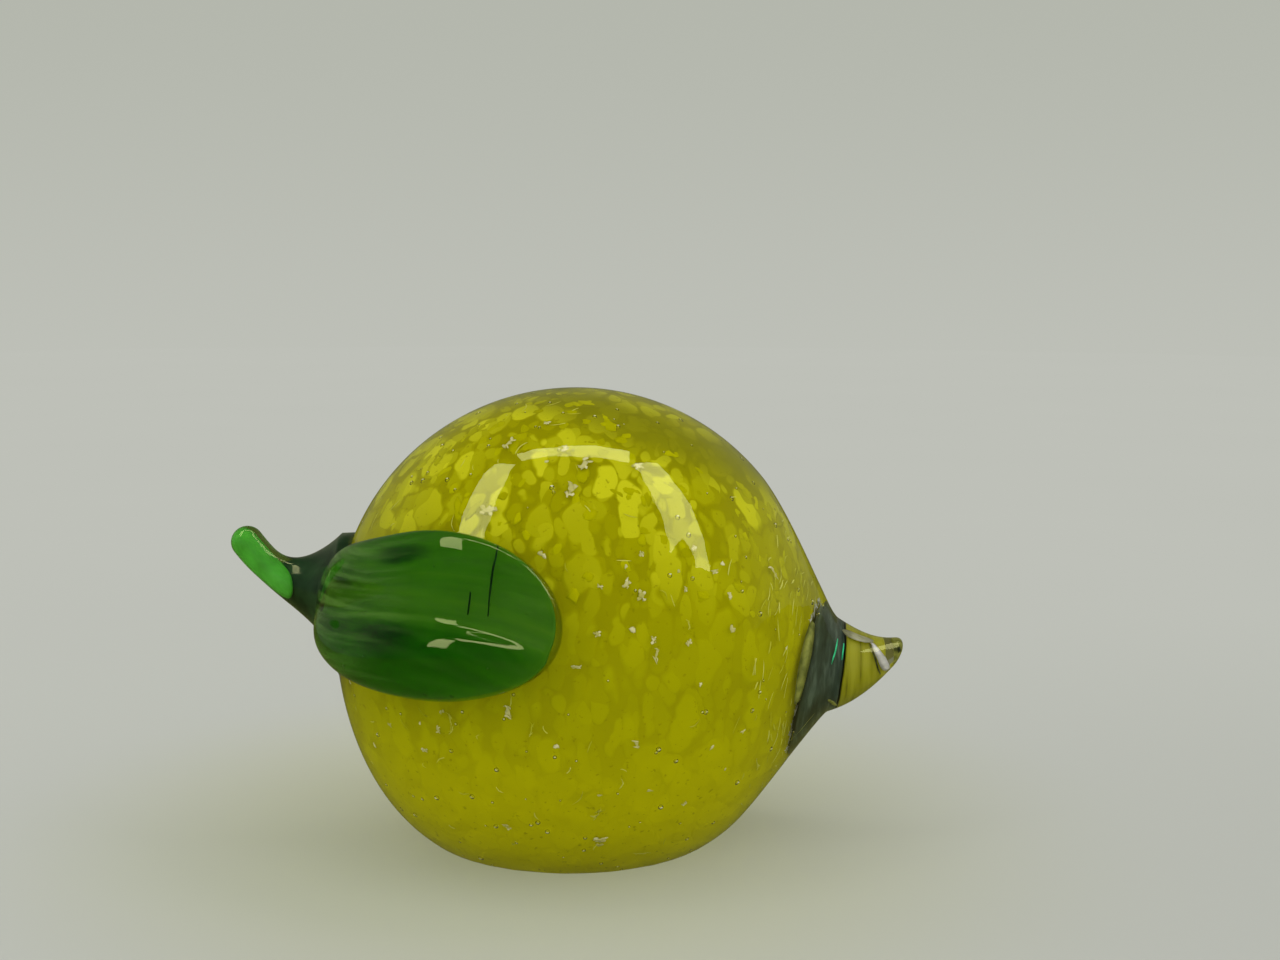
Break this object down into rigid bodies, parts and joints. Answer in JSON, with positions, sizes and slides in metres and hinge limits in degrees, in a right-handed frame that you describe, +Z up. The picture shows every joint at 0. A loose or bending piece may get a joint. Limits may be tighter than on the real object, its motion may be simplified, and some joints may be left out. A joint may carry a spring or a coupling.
{
  "type": "glass lemon",
  "caption": "Solid glass lemon paperweight: yellow glass chips cased in clear glass, a drawn-out nub, a curved green stem and a thick green leaf.",
  "frame": {"origin": "on the flat base, straight below the centre of the round body", "axes": "+X along the lemon towards its nub, +Z up from the base, leaf on the -Y side"},
  "size_m": [0.1143, 0.0838, 0.0758],
  "materials": {
    "clear_glass": "clear, glossy, with seed bubbles",
    "yellow_frit": "crushed yellow glass chips, nearly opaque",
    "core_glass": "clear, fused inside the yellow layer",
    "stem_green": "transparent green, glossy",
    "leaf_green": "deep transparent green, glossy, with fine cracks"
  },
  "bodies": {
    "root": {"clear_casing": "clear_glass", "frit_layer": "yellow_frit", "core_gather": "core_glass", "stem": "stem_green", "leaf": "leaf_green"}
  },
  "joints": []
}
